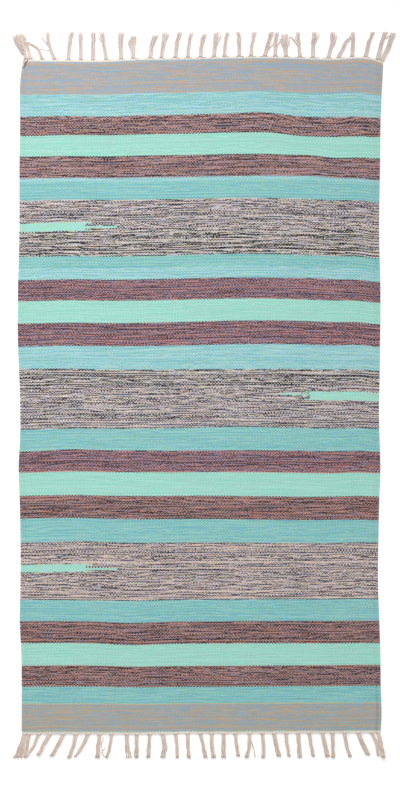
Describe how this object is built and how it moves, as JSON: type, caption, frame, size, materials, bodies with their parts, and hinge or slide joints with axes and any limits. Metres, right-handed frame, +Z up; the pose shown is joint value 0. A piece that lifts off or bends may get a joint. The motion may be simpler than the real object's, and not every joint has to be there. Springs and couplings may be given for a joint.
{
  "type": "kilim rug",
  "caption": "Flat-woven striped cotton kilim rug with marled bands, small woven insets and a knotted warp fringe at each end, lying flat.",
  "frame": {"origin": "middle of the underside, where the rug rests", "axes": "+X across the rug along its wefts, +Y along its length towards the head end, +Z up out of its face"},
  "size_m": [0.8526, 1.6196, 0.005],
  "materials": {
    "striped_cloth": "matte weft-faced cotton in aqua, mint, rose, cream and blue stripes",
    "natural_cotton": "matte undyed cotton yarn"
  },
  "bodies": {
    "root": {"woven_field": "striped_cloth", "fringe_head": "natural_cotton", "fringe_foot": "natural_cotton"}
  },
  "joints": []
}
